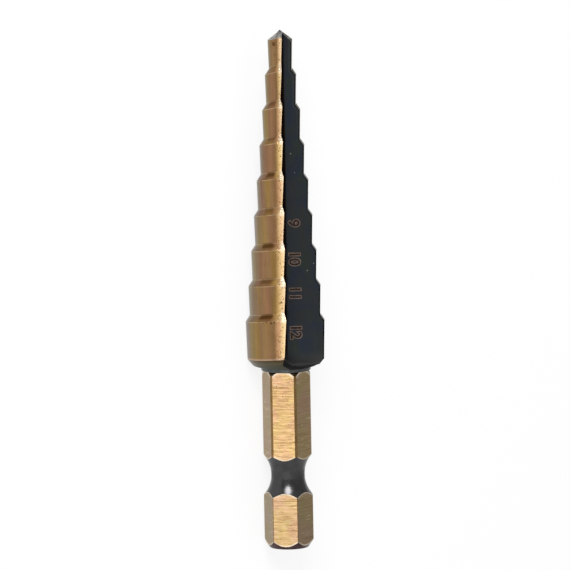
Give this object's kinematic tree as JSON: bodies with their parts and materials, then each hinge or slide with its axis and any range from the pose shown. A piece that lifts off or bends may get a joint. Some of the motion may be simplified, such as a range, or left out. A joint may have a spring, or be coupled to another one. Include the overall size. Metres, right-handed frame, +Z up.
{
  "type": "step drill",
  "caption": "Step drill with straight flutes, stepped relieved lands, a split point and a hexagonal quick-change shank.",
  "frame": {"origin": "middle of the box round the drill, on the surface that it lies on", "axes": "+Z up; +Y towards the point, which the axis meets less than a degree above level; +X to the right of one who looks along +Y"},
  "size_m": [0.0118, 0.0768, 0.0088],
  "materials": {
    "steel": "ground lands and flats with a gold temper colour, black oxide elsewhere"
  },
  "bodies": {
    "root": {"step_drill": "steel"}
  },
  "joints": []
}
